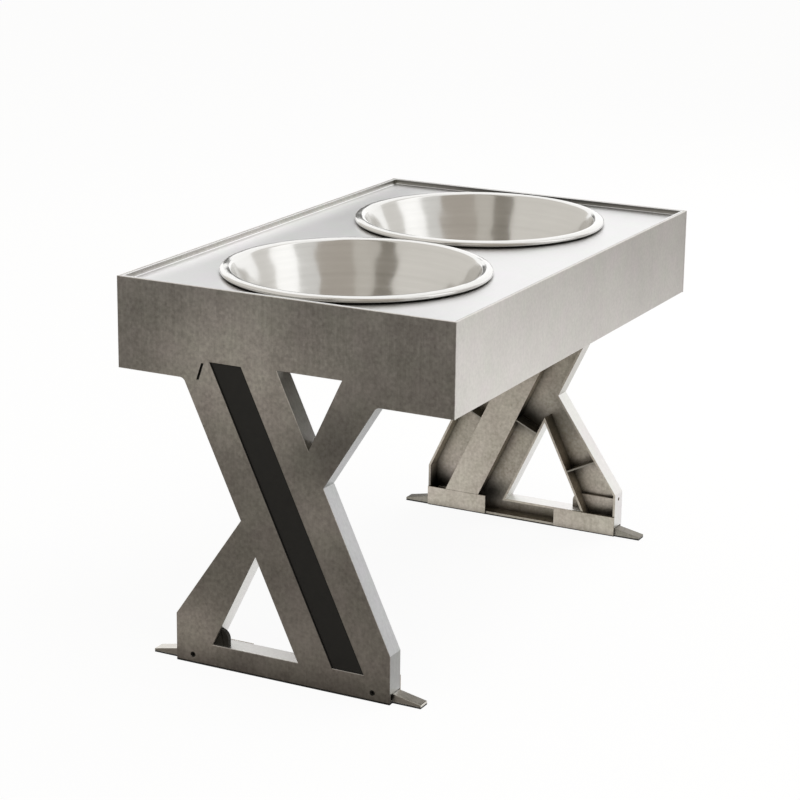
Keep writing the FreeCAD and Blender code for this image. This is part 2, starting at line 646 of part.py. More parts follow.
def make_deck_pan(node):
    """Sunk deck with upturned edges and two round cut-outs for the bowls."""
    body = new_body(node)
    half_width = f"({INNER_WIDTH} - Sizes.fit_gap)"
    half_length = f"({INNER_LENGTH} - Sizes.fit_gap)"
    plan = add_sketch(body, "DeckPlan", "XY_Plane", DECK_UNDERSIDE)
    add_polygon(plan, rectangle(f"-{half_width}", f"-{half_length}", half_width, half_length))
    block = add_pad(body, "DeckBlock", plan, "(Sizes.deck_drop + Sizes.deck_sheet)")
    doc.recompute()

    top = face_on(block.Shape, "Z", number(TRAY_TOP))
    shell = add_shell(body, "DeckShell", block, top, "Sizes.deck_sheet")

    def on_deck_top(point):
        return near(point.z, DECK_TOP)

    def on_underside(point):
        return near(point.z, DECK_UNDERSIDE)

    inside = add_fillet(body, "InnerBends", shell, edges_where(shell.Shape, on_deck_top), "Sizes.deck_bend")
    add_fillet(body, "OuterBends", inside, edges_where(inside.Shape, on_underside),
               "(Sizes.deck_bend + Sizes.deck_sheet)")
    cutouts = add_sketch(body, "BowlCutouts", "XY_Plane", DECK_TOP)
    for side in (-1, 1):
        add_circle(cutouts, "0", f"{side} * {HALF_SPACING}",
                   "(Sizes.bowl_rim / 2 - Sizes.lip_width + Sizes.bowl_clearance)")
    add_pocket(body, "BowlCuts", cutouts, "(Sizes.deck_sheet + Sizes.fit_gap)")
    return body


def make_ledge(node, turn):
    """Angle along a side fascia that carries the deck."""
    body = new_body(node, turn)
    drop = f"({DECK_UNDERSIDE} - Sizes.strip_sheet)"
    profile = add_sketch(body, "LedgeProfile", "XZ_Plane", f"({INNER_LENGTH} - Sizes.ledge_end_gap)")
    add_polygon(profile, [
        (INNER_WIDTH, DECK_UNDERSIDE),
        (f"({INNER_WIDTH} - Sizes.ledge_width)", DECK_UNDERSIDE),
        (f"({INNER_WIDTH} - Sizes.ledge_width)", drop),
        (f"({INNER_WIDTH} - Sizes.strip_sheet)", drop),
        (f"({INNER_WIDTH} - Sizes.strip_sheet)", f"({DECK_UNDERSIDE} - Sizes.ledge_width)"),
        (INNER_WIDTH, f"({DECK_UNDERSIDE} - Sizes.ledge_width)"),
    ])
    add_pad(body, "Ledge", profile, f"2 * ({INNER_LENGTH} - Sizes.ledge_end_gap)", against_normal=True)
    return body


def make_corner_angle(node, turn, side):
    """Upright angle that joins a side fascia to an end panel."""
    body = new_body(node, turn)
    across = f"{side} * {INNER_WIDTH}"
    across_thin = f"{side} * ({INNER_WIDTH} - Sizes.strip_sheet)"
    across_wide = f"{side} * ({INNER_WIDTH} - Sizes.angle_width)"
    along = f"-{INNER_LENGTH}"
    along_thin = f"(Sizes.strip_sheet - {INNER_LENGTH})"
    along_wide = f"(Sizes.angle_width - {INNER_LENGTH})"
    plan = add_sketch(body, "AnglePlan", "XY_Plane", f"({TRAY_BOTTOM} + Sizes.angle_lift)")
    add_polygon(plan, [
        (across, along),
        (across_wide, along),
        (across_wide, along_thin),
        (across_thin, along_thin),
        (across_thin, along_wide),
        (across, along_wide),
    ])
    add_pad(body, "Angle", plan, "Sizes.angle_height")
    return body


# Round stretches of a bowl's section run in straight steps, each a cone of the pressed sheet
LIP_STEPS = 6
BASE_ROUND_STEPS = 2


def base_round_points(corner, level):
    """Arc from a bowl's flat bottom up to its wall, tangent to both."""
    lean = f"atan({WALL_HEIGHT} / Sizes.bowl_taper)"
    arc_start = f"({corner} - Sizes.bowl_round * tan({lean} / 2))"
    points = []
    for step in range(BASE_ROUND_STEPS + 1):
        turn = f"({lean} * {step} / {BASE_ROUND_STEPS})"
        across = f"({arc_start} + Sizes.bowl_round * sin({turn}))"
        points.append((across, f"({level} + Sizes.bowl_round * (1 - cos({turn})))"))
    return points


def lip_points(mouth):
    """Section of the rolled lip: a closed roll from the wall over its top and back along the deck."""
    rim = "(Sizes.bowl_rim / 2)"
    wall_across = f"(Sizes.bowl_sheet * sqrt(1 + (Sizes.bowl_taper / {WALL_HEIGHT})^2))"
    middle = f"(({rim} + {mouth} - {wall_across}) / 2)"
    half_width = f"(({rim} - {mouth} + {wall_across}) / 2)"
    step_turn = FULL_TURN / LIP_STEPS
    wall_foot = f"({mouth} - Sizes.bowl_taper * Sizes.lip_rise / 2 / {WALL_HEIGHT} - {wall_across} / 2)"
    points = []
    for step in range(LIP_STEPS - 1):
        turn = HALF_TURN - step * step_turn
        rise = f"(Sizes.lip_rise / 2 * sin({turn}) / sin({step_turn}))"
        points.append((f"({middle} + {half_width} * cos({turn}))", f"({LIP_LEVEL} + {rise})"))
    return [*points, (wall_foot, DECK_TOP)]


def add_revolution(body, name, points):
    """Outline turned once round the body's upright axis."""
    section = add_sketch(body, f"{name}Section", "XZ_Plane", "0")
    add_polygon(section, points)
    turned = body.newObject("PartDesign::Revolution", name)
    turned.Profile = section
    turned.ReferenceAxis = (section, ["V_Axis"])
    turned.Angle = FULL_TURN
    doc.recompute()
    return turned


def make_bowl(node, side):
    """Pressed bowl with a leaning wall and a rolled lip that rests on the deck."""
    body = new_body(node)
    body.setExpression("Placement.Base.y", f"{side} * {HALF_SPACING}")
    mouth = "(Sizes.bowl_rim / 2 - Sizes.lip_width)"
    bottom = f"({DECK_TOP} - Sizes.bowl_depth)"
    wall = base_round_points(f"({mouth} - Sizes.bowl_taper)", bottom)
    solid = add_revolution(body, "Bowl", [("0", bottom), *wall, (mouth, LIP_LEVEL), ("0", LIP_LEVEL)])
    add_shell(body, "BowlShell", solid, face_on(solid.Shape, "Z", number(LIP_LEVEL)), "Sizes.bowl_sheet")
    add_revolution(body, "Lip", lip_points(mouth))
    return body


# One piece per node, at both ends and sides of the stand

nodes = [make_deck_pan("deck_pan")]
for half_turns, end in enumerate(("front", "rear")):
    turn = half_turns * HALF_TURN
    nodes.append(make_end_panel(f"end_panel_{end}", turn))
    nodes.append(make_slot_inlay(f"slot_inlay_{end}", turn))
    nodes.append(make_slot_cover(f"slot_cover_{end}", turn))
    base_plates = [make_base_plate(side) for side in (WINDOW_SIDE, SLOT_SIDE)]
    nodes.append(make_group(f"base_rail_{end}", turn, base_plates))
    nodes.append(make_floor_strip(f"floor_strip_{end}", turn))
    nodes.append(make_leg_ribs(f"leg_ribs_{end}", turn))
    screws = [make_screw(side) for side in (WINDOW_SIDE, SLOT_SIDE)]
    nodes.append(make_group(f"foot_screws_{end}", turn, screws))
    for hand, side in (("left", WINDOW_SIDE), ("right", SLOT_SIDE)):
        nodes.append(make_foot(f"foot_{end}_{hand}", turn, side))
        nodes.append(make_corner_angle(f"corner_angle_{end}_{hand}", turn, side))
for half_turns, hand in enumerate(("right", "left")):
    turn = half_turns * HALF_TURN
    nodes.append(make_side_fascia(f"side_fascia_{hand}", turn))
    nodes.append(make_ledge(f"deck_ledge_{hand}", turn))
for end, side in (("front", -1), ("rear", 1)):
    nodes.append(make_bowl(f"bowl_{end}", side))
doc.recompute()

for item in doc.Objects:
    if "Invalid" in item.State or "Error" in item.State:
        raise RuntimeError(f"{item.Label} did not build: {item.State}")
for node in nodes:
    if node.Shape.isNull() or not node.Shape.isValid():
        raise RuntimeError(f"{node.Label} has no valid shape")

os.makedirs("parts", exist_ok=True)
for node in nodes:
    node.Shape.exportStep(f"parts/{node.Label}.step")
    box = node.Shape.BoundBox
    corners = f"{box.XMin:.1f} {box.YMin:.1f} {box.ZMin:.1f} to {box.XMax:.1f} {box.YMax:.1f} {box.ZMax:.1f}"
    print(f"{node.Label}: {len(node.Shape.Solids)} solids, {node.Shape.Volume:.1f} mm3, {corners}")
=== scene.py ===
# %% [markdown]
# # A raised feeding stand in brushed steel
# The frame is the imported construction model, with every sheet, bowl, foot and screw at its real size.
# This lesson gives each of them its finish. It could be rebuilt from nothing, but the construction model
# already has the right shapes, so the sheets start from it and only get what a press brake, a polishing
# belt and daylight add to them. The bowls and the screws are modelled anew.

# %% Load the frame
import json
import math

import bpy
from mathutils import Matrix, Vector

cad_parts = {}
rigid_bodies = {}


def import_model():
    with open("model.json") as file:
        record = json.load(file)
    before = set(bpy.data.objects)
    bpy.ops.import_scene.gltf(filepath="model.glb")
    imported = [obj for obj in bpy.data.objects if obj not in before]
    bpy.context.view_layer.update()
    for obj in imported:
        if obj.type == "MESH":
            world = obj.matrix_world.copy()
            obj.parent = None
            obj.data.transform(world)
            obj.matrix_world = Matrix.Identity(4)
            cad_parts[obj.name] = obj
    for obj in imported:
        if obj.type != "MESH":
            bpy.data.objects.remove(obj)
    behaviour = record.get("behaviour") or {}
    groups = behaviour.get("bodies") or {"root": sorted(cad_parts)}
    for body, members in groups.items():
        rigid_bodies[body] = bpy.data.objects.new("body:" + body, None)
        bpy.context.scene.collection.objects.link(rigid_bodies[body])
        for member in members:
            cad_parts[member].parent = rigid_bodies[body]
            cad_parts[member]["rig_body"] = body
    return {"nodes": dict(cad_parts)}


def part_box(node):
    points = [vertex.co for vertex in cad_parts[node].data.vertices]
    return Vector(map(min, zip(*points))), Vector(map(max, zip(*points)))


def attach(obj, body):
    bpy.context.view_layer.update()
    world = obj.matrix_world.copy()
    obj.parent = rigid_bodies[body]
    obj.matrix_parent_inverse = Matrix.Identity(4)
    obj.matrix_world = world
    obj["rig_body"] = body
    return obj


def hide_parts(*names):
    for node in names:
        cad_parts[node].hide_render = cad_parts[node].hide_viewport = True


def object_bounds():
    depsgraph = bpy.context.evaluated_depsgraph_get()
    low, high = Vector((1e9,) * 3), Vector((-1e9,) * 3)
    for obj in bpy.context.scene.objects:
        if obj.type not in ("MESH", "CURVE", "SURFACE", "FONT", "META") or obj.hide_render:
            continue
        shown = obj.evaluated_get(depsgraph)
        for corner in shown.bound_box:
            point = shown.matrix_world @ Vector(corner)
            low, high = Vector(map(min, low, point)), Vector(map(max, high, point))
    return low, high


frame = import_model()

MM = 0.001
cad_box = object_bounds()
stand_size = cad_box[1] - cad_box[0]
print("frame:", len(frame["nodes"]), "nodes, box in mm", [round(side / MM, 1) for side in stand_size])

# %% [markdown]
# ## Two habits for working without a window
# An operator acts on whatever is selected, and the frame arrives selected. So each step starts by
# deselecting everything and picking one object, which is what a click does in the window.

# %% Pick one object
def pick_only(piece):
    """Deselect everything, then select one object and make it active."""
    bpy.ops.object.select_all(action="DESELECT")
    piece.select_set(True)
    bpy.context.view_layer.objects.active = piece
    return piece


def keep_name(name):
    """Name the object that an operator has just added, and its mesh."""
    piece = bpy.context.active_object
    piece.name = name
    piece.data.name = name
    return piece


bpy.ops.object.select_all(action="DESELECT")

# %% [markdown]
# ## Camera
# The picture was taken from the stand's right front, a little above the deck, with a long lens. The
# camera could be aimed by eye. Here its place, turn and dip come from the corners of the tray in the
# picture, so the render can be laid over it.

# %% Camera
CAMERA_PLACE = Vector((873.9, -1739.4, 731.2)) * MM
CAMERA_TURN = math.radians(27.13)
CAMERA_DIP = math.radians(16.09)
CAMERA_ROLL = math.radians(0.76)
CAMERA_LENS = 108.9
UPRIGHT = math.radians(90)

bpy.ops.object.camera_add(location=CAMERA_PLACE, rotation=(UPRIGHT - CAMERA_DIP, 0, CAMERA_TURN))
camera = bpy.context.active_object
camera.rotation_euler.rotate_axis("Z", CAMERA_ROLL)
camera.data.lens = CAMERA_LENS
bpy.context.scene.camera = camera
bpy.context.scene.view_settings.view_transform = "Standard"
print("camera lens in mm:", camera.data.lens)

# %% [markdown]
# ## Nodes
# Every material is a small graph. One function adds a node, sets its options, and fills each input
# with a number or with a link from another node. That keeps a graph readable as a list of steps.
# Colours are written as the hex values that a paint program shows, and turned into linear light here.

# %% One function for nodes, one for colours
SRGB_CODES = 255
SRGB_TOE = 0.04045
SRGB_TOE_SLOPE = 12.92
SRGB_OFFSET = 0.055
SRGB_POWER = 2.4


def add_node(tree, kind, inputs=None, **options):
    """Add a shader node, set its options, and give each named input a value or a link."""
    node = tree.nodes.new("ShaderNode" + kind)
    for option, value in options.items():
        setattr(node, option, value)
    for socket, value in (inputs or {}).items():
        if isinstance(value, bpy.types.NodeSocket):
            tree.links.new(value, node.inputs[socket])
        else:
            node.inputs[socket].default_value = value
    return node


def linear_channel(code):
    """Linear light of one sRGB channel code: a straight toe, then a power curve."""
    share = code / SRGB_CODES
    if share <= SRGB_TOE:
        return share / SRGB_TOE_SLOPE
    return ((share + SRGB_OFFSET) / (1 + SRGB_OFFSET)) ** SRGB_POWER


def linear(hex_colour):
    """Linear light of an sRGB hex colour, as red, green, blue and full alpha."""
    return (*[linear_channel(code) for code in bytes.fromhex(hex_colour[1:])], 1)


def new_material(name):
    """Empty node material and its tree."""
    material = bpy.data.materials.new(name)
    material.use_nodes = True
    material.node_tree.nodes.clear()
    return material, material.node_tree


def show(tree, shader):
    """Send a shader to the material's surface."""
    add_node(tree, "OutputMaterial", {"Surface": shader})


print("mid grey in linear light:", round(linear("#808080")[0], 3))

# %% [markdown]
# ## Floor and background
# The stand is shown on plain white. Light alone could burn the floor out to white, but it would burn
# the steel out too. So rays from the camera, and rays that polished metal sends back, see mostly plain
# white, and only a share of the lit paper, which keeps the soft shadow under the legs.

# %% Floor and world
FLOOR_WIDTH = 16.0
PAPER_WHITE = "#f4f3f1"
SEEN_WHITE = 0.93
MIRRORED_WHITE = 0.92
ROOM_LIGHT = "#e9e6e1"
ROOM_STRENGTH = 0.85
MIRRORED_STRENGTH = 1.42
FULL_CIRCLE = 360
# Each wall: what it is, the heading in degrees where it starts, and its tone.
ROOM_WALLS = (
    ("pale wall on the left", -180, "#c9c6c1"),
    ("door in front", -103, "#807b73"),
    ("its pale frame", -83, "#b4b0a9"),
    ("dim wall in front", -62, "#a19b93"),
    ("light wall on the right", -20, "#cac9c7"),
    ("window on the right", 2, "#ffffff"),
    ("corner behind it", 33, "#cccac7"),
    ("bright wall behind", 55, "#f6f6f6"),
    ("left corner", 150, "#c9c6c1"),
)


def seen_share(tree, camera_share, mirror_share):
    """How much plain white a ray sees: one share for the camera, another for mirrored and clear paths."""
    path = add_node(tree, "LightPath")
    mirrored = add_node(tree, "Math", {0: path.outputs["Is Glossy Ray"],
                                       1: path.outputs["Is Transmission Ray"]}, operation="MAXIMUM")
    mirror_part = add_node(tree, "Math", {0: mirrored.outputs[0], 1: mirror_share}, operation="MULTIPLY")
    camera_part = add_node(tree, "Math", {0: path.outputs["Is Camera Ray"], 1: camera_share},
                           operation="MULTIPLY")
    both = add_node(tree, "Math", {0: camera_part.outputs[0], 1: mirror_part.outputs[0]}, operation="ADD")
    return both.outputs[0]


def white_paper():
    """Matt paper sweep: white to the eye, with the shadow of the stand kept."""
    material, tree = new_material("white_paper_sweep")
    paper = add_node(tree, "BsdfDiffuse", {"Color": linear(PAPER_WHITE)})
    white = add_node(tree, "Emission", {"Color": linear("#ffffff")})
    share = seen_share(tree, SEEN_WHITE, MIRRORED_WHITE)
    show(tree, add_node(tree, "MixShader", {0: share, 1: paper.outputs[0], 2: white.outputs[0]}).outputs[0])
    return material


def set_tones(ramp, tones):
    """Fill a colour ramp with places from 0 to 1 and their hex tones."""
    ramp.elements.remove(ramp.elements[-1])
    ramp.elements[0].position = tones[0][0]
    ramp.elements[0].color = linear(tones[0][1])
    for place, tone in tones[1:]:
        ramp.elements.new(place).color = linear(tone)


def mirrored_room(tree):
    """What steel mirrors of the room: its walls, door and window by their heading round the stand."""
    heading = add_node(tree, "TexCoord")
    parts = add_node(tree, "SeparateXYZ", {0: heading.outputs["Generated"]})
    turn = add_node(tree, "Math", {0: parts.outputs["Y"], 1: parts.outputs["X"]}, operation="ARCTAN2")
    share = add_node(tree, "MapRange", {"Value": turn.outputs[0], "From Min": -math.pi, "From Max": math.pi})
    walls = add_node(tree, "ValToRGB", {0: share.outputs[0]})
    walls.color_ramp.interpolation = "CONSTANT"
    first = ROOM_WALLS[0][1]
    set_tones(walls.color_ramp, [((start - first) / FULL_CIRCLE, tone) for wall, start, tone in ROOM_WALLS])
    return walls.outputs["Color"]


def studio_world():
    """White to the camera, the walls of a room in mirrors, and a plain warm room as a light."""
    world = bpy.data.worlds.new("studio_world")
    world.use_nodes = True
    tree = world.node_tree
    tree.nodes.clear()
    room = add_node(tree, "Background", {"Color": linear(ROOM_LIGHT), "Strength": ROOM_STRENGTH})
    walls = add_node(tree, "Background", {"Color": mirrored_room(tree), "Strength": MIRRORED_STRENGTH})
    white = add_node(tree, "Background", {"Color": linear("#ffffff")})
    mirrored = add_node(tree, "MixShader", {0: seen_share(tree, 0, 1), 1: room.outputs[0],
                                            2: walls.outputs[0]})
    mixed = add_node(tree, "MixShader", {0: seen_share(tree, 1, 0), 1: mirrored.outputs[0],
                                         2: white.outputs[0]})
    add_node(tree, "OutputWorld", {"Surface": mixed.outputs[0]})
    return world


bpy.ops.mesh.primitive_plane_add(size=FLOOR_WIDTH)
floor = keep_name("floor")
floor.data.materials.append(white_paper())
bpy.context.scene.world = studio_world()
print("floor across in m:", FLOOR_WIDTH)

# %% [markdown]
# ## Light
# Steel shows what stands around it more than it shows its own colour. In the picture the right side and
# the deck mirror a bright room, while the near end mirrors a dim one. A photographer gets that with a
# large soft lamp behind and above, and with dim boards on the dark side. The boards here stand where
# only the steel sees them.

# %% Lamps and dim boards
# Each lamp: name, place and aim in m, width in m, power in W.
LAMPS = (
    ("back_softbox", (0.55, 1.75, 1.25), (0.0, 0.0, 0.28), 1.5, 16),
    ("top_softbox", (0.9, -0.1, 2.2), (0.0, 0.0, 0.2), 1.4, 18),
)
BOARD_LIFT = 0.4 * MM
# Tones of a board: a place along Y in m and the tone there.
NEAR_FLOOR = ((-2.5, "#706c66"), (-0.80, "#706c66"), (-0.62, "#7f7a74"), (-0.44, "#69655f"),
              (-0.30, "#7d7872"), (-0.27, "#736e68"), (-0.235, "#544f4a"))
FAR_FLOOR = ((0.4, "#ffffff"), (1.4, "#969492"))
RIGHT_FLOOR = ((-0.15, "#d6d4d0"), (0.10, "#c4c2be"))
BACK_CORNER = ((0.0, "#70706e"), (1.0, "#70706e"))
# Each board: name, two opposite corners in m, its tones and how strongly it glows.
BOARDS = (
    ("near_floor_board", (-3.0, -3.0, BOARD_LIFT), (0.7, -0.2256, BOARD_LIFT), NEAR_FLOOR, 1.45),
    ("far_floor_board", (0.2, 0.4, BOARD_LIFT), (2.4, 2.6, BOARD_LIFT), FAR_FLOOR, 1.4),
    ("right_floor_board", (0.1, -0.2, BOARD_LIFT), (0.42, 0.12, BOARD_LIFT), RIGHT_FLOOR, 1.0),
    ("back_corner_board", (-1.22, 1.35, 0.0), (-0.68, 1.35, 0.70), BACK_CORNER, 1.0),
)


def add_lamp(name, place, aim, width, power):
    """Square soft lamp at a place, turned to a point on the stand."""
    heading = Vector(aim) - Vector(place)
    aimed = heading.to_track_quat("-Z", "Y").to_euler()
    bpy.ops.object.light_add(type="AREA", location=place, rotation=aimed)
    lamp = keep_name(name)
    lamp.data.size = width
    lamp.data.energy = power
    return lamp


def dim_board(name, corner, opposite, tones, glow):
    """Board that only mirrored rays see, lying or upright, with tones that change along Y."""
    low, high = Vector(corner), Vector(opposite)
    span = high - low
    bpy.ops.mesh.primitive_plane_add(size=1, location=(low + high) / 2)
    board = keep_name(name)
    if span.y > 0:
        board.scale = (span.x, span.y, 1)
    else:
        board.rotation_euler = (UPRIGHT, 0, 0)
        board.scale = (span.x, span.z, 1)
    bpy.ops.object.transform_apply(location=True, rotation=True, scale=True)
    material, tree = new_material(name + "_paint")
    place = add_node(tree, "TexCoord")
    parts = add_node(tree, "SeparateXYZ", {0: place.outputs["Object"]})
    first, last = tones[0][0], tones[-1][0]
    share = add_node(tree, "MapRange", {"Value": parts.outputs["Y"], "From Min": first, "From Max": last})
    paint = add_node(tree, "ValToRGB", {0: share.outputs[0]})
    set_tones(paint.color_ramp, [((along - first) / (last - first), tone) for along, tone in tones])
    show(tree, add_node(tree, "Emission", {"Color": paint.outputs["Color"], "Strength": glow}).outputs[0])
    board.data.materials.append(material)
    board.visible_camera = False
    board.visible_diffuse = False
    board.visible_shadow = False
    return board


for lamp in LAMPS:
    add_lamp(*lamp).visible_glossy = False
for board in BOARDS:
    dim_board(*board)
print("lamps:", [lamp[0] for lamp in LAMPS])

# %% [markdown]
# ## Brushed stainless sheet
# The sheets are stainless steel, ground on a belt. The belt leaves fine parallel lines, so a highlight
# smears across them. The lines could be a picture, but a noise stretched along the belt's direction
# never repeats and follows a fold as the real lines do. Real lines are about 0.1 mm apart, which is
# far below a pixel here, so they are drawn 1.1 mm apart to show at all.

# %% Brushed stainless
# Sizes are in mm. Detail is how many times finer noise is added to the coarse one.
LINE_SPACING = 1.1
LINE_LENGTH = 90.0
LINE_DETAIL = 3
GRAIN_SIZE = 2.6
GRAIN_DETAIL = 3
MOTTLE_SIZE = 16.0
MOTTLE_DETAIL = 4
CLOUD_SIZE = 75.0
CLOUD_DETAIL = 1
TINT_SIZE = 24.0
TINT_DETAIL = 2
LINES_SHARE = 0.6
MOTTLE_SHARE = 0.4
CLOUDS_SHARE = 0.6
TONE_SPREAD = 0.3
OLIVE_TINT = "#f9fbf1"
PINK_TINT = "#fff7f7"
QUARTER_TURN = 0.25
# Painted corner shade: how much the colour darkens as ambient occlusion closes in.
CORNER_SHADE_FULL = 0.28
CORNER_SHADE_NONE = 0.72
CORNER_SHADE_SAMPLES = 8
SATIN_ROUGHNESS = 0.36
SATIN_GRAIN = 2.0
SMOOTHER_LINE = 0.08
ROUGHER_LINE = 0.10
SCRATCH_STRENGTH = 0.06
SCRATCH_DEPTH = 0.2
BELT_SMEAR = 0.5


def stretched_noise(tree, across, spacing, length, detail):
    """Noise in lines: a spacing in mm across them and a length along them."""
    place = add_node(tree, "TexCoord")
    stretch = [1 / (length * MM)] * 3
    stretch["XYZ".index(across)] = 1 / (spacing * MM)
    lines = add_node(tree, "Mapping", {"Vector": place.outputs["Object"], "Scale": stretch})
    return add_node(tree, "TexNoise", {"Vector": lines.outputs[0], "Scale": 1, "Detail": detail}).outputs[0]


def painted_corner_shade(tree, clean, shade_tone, reach):
    """Painted shade: a darker tone in corners and recesses within a reach in mm, where ambient occlusion
    finds them.
    """
    corner = add_node(tree, "AmbientOcclusion", {"Distance": reach * MM}, samples=CORNER_SHADE_SAMPLES)
    open_share = add_node(tree, "MapRange", {"Value": corner.outputs["AO"], "From Min": CORNER_SHADE_FULL,
                                             "From Max": CORNER_SHADE_NONE})
    colour = add_node(tree, "Mix", {0: open_share.outputs[0], 6: linear(shade_tone), 7: clean}, data_type="RGBA")
    return colour.outputs[2]


def added(tree, values):
    """Sum of several values, each with its weight."""
    total = 0.0
    for value, weight in values:
        part = add_node(tree, "Math", {0: value, 1: weight, 2: total}, operation="MULTIPLY_ADD")
        total = part.outputs[0]
    return total


def rolled_tone(tree, across, dark, light, grain):
    """Colour of a steel sheet: belt lines, grain, mottle and clouds between two shades, with a faint tint."""
    lines = stretched_noise(tree, across, LINE_SPACING, LINE_LENGTH, LINE_DETAIL)
    fine = stretched_noise(tree, across, GRAIN_SIZE, GRAIN_SIZE, GRAIN_DETAIL)
    mottle = stretched_noise(tree, across, MOTTLE_SIZE, MOTTLE_SIZE, MOTTLE_DETAIL)
    clouds = stretched_noise(tree, across, CLOUD_SIZE, CLOUD_SIZE, CLOUD_DETAIL)
    weights = (LINES_SHARE, grain, MOTTLE_SHARE * grain, CLOUDS_SHARE * grain)
    tone = added(tree, zip((lines, fine, mottle, clouds), weights))
    middle = sum(weights) / 2
    shade = add_node(tree, "MapRange", {"Value": tone, "From Min": middle * (1 - TONE_SPREAD),
                                        "From Max": middle * (1 + TONE_SPREAD)})
    colour = add_node(tree, "Mix", {0: shade.outputs[0], 6: linear(dark), 7: linear(light)}, data_type="RGBA")
    tint_place = stretched_noise(tree, across, TINT_SIZE, TINT_SIZE, TINT_DETAIL)
    tint = add_node(tree, "Mix", {0: tint_place, 6: linear(OLIVE_TINT), 7: linear(PINK_TINT)},
                    data_type="RGBA")
    tinted = add_node(tree, "Mix", {0: 1.0, 6: colour.outputs[2], 7: tint.outputs[2]}, data_type="RGBA",
                      blend_type="MULTIPLY")
    return lines, tinted.outputs[2]


def toned(tree, colour, patches):
    """Colour with soft lighter or darker patches: middle and reach in mm along each axis, and a factor."""
    place = add_node(tree, "TexCoord")
    for middle, reach, factor in patches:
        away = add_node(tree, "VectorMath", {0: place.outputs["Object"], 1: Vector(middle) * MM},
                        operation="SUBTRACT")
        share = add_node(tree, "VectorMath", {0: away.outputs[0], 1: Vector(reach) * MM}, operation="DIVIDE")
        length = add_node(tree, "VectorMath", {0: share.outputs[0]}, operation="LENGTH")
        tone = add_node(tree, "MapRange", {"Value": length.outputs["Value"], "To Min": factor,
                                           "To Max": 1.0}, interpolation_type="SMOOTHSTEP")
        scaled = add_node(tree, "VectorMath", {0: colour, "Scale": tone.outputs[0]}, operation="SCALE")
        colour = scaled.outputs[0]
    return colour


def brushed_stainless(name, across, dark, light, roughness=SATIN_ROUGHNESS, grain=SATIN_GRAIN,
                      shade_tone=None, shade_tone_reach=0.0, patches=()):
    """Belt-ground stainless: a satin metal with lines, a fine grain and a faint mottle, plus any painted
    patches and painted corner shade it is given.
    """
    material, tree = new_material(name)
    lines, colour = rolled_tone(tree, across, dark, light, grain)
    colour = toned(tree, colour, patches)
    if shade_tone:
        colour = painted_corner_shade(tree, colour, shade_tone, shade_tone_reach)
    grind = add_node(tree, "MapRange", {"Value": lines, "To Min": roughness - SMOOTHER_LINE,
                                        "To Max": roughness + ROUGHER_LINE})
    scratch = add_node(tree, "Bump", {"Height": lines, "Strength": SCRATCH_STRENGTH,
                                      "Distance": SCRATCH_DEPTH * MM})
    surface = add_node(tree, "NewGeometry")
    belt_axis = tuple(float(axis == across) for axis in "XYZ")
    along = add_node(tree, "VectorMath", {0: surface.outputs["Normal"], 1: belt_axis},
                     operation="CROSS_PRODUCT")
    steel = add_node(tree, "BsdfPrincipled", {
        "Base Color": colour,
        "Metallic": 1.0,
        "Roughness": grind.outputs[0],
        "Anisotropic": BELT_SMEAR,
        "Anisotropic Rotation": QUARTER_TURN,
        "Tangent": along.outputs[0],
        "Normal": scratch.outputs[0],
    })
    show(tree, steel.outputs[0])
    return material


def at_end(patches, turn):
    """Patches given for the front end, or the same patches turned half round for the rear end."""
    return [((turn * x, turn * y, z), reach, factor) for (x, y, z), reach, factor in patches]


print("belt lines in mm:", LINE_SPACING, "apart,", LINE_LENGTH, "long")

# %% [markdown]
# The tone of the sheets in the picture isn't even. On the ends some places are lighter, with no known
# cause, and the upper arm is darker as painted shade. Some lighter places are read as rubbed or ground
# steel, which is a guess. Other patches are painted shade and painted light that this simple room doesn't
# give, such as the dark steps in the far leg's hollow, the shadow along the back rim and the light left
# edges of the rim and the deck. Each is a soft patch: its middle and its reach in mm, and how much lighter
# or darker it is. Lamps could do the same, but a patch is easier to place. Those of the ends are given for
# the front, and turned half round for the rear.

# %% Patches and steels
# Lighter places on the ends, with no known cause, and painted shade on the upper arm.
LIGHTER_LEG_TOP = ((-38, -230, 240), (115, 40, 86), 1.9)
LIGHTER_LOWER_CORNER = ((-80, -230, 28), (52, 40, 46), 1.75)
LIGHTER_CROSSING = ((34, -230, 140), (46, 40, 48), 1.25)
SHADED_ARM = ((45, -230, 200), (50, 40, 60), 0.6)
# Painted shadows in the legs' hollows.
RIB_SHADOW = ((-2, -226, 97), (30, 30, 24), 0.12)
CORNER_SHADOW = ((92, -226, 20), (36, 30, 24), 0.12)
FOOT_SHADOW = ((36, -226, 19), (36, 30, 24), 0.15)
ARM_SHADOW = ((-42, -226, 106), (42, 30, 42), 0.5)
# Painted shadow along the back rim, and painted light on the left rim and the deck's left edge.
BACK_RIM_SHADOW = ((0, 228, 305), (220, 14, 14), 0.3)
LEFT_RIM_LIGHT = ((-143, 0, 305), (14, 400, 14), 1.66)
LEFT_DECK_LIGHT = ((-137, 0, 302), (26, 400, 12), 1.35)
END_PATCHES = (LIGHTER_LEG_TOP, LIGHTER_LOWER_CORNER, LIGHTER_CROSSING, SHADED_ARM)
HOLLOW_PATCHES = (RIB_SHADOW, CORNER_SHADOW, FOOT_SHADOW, ARM_SHADOW)
ENDS = (("front", 1), ("rear", -1))
HANDS = (("left", -1), ("right", 1))
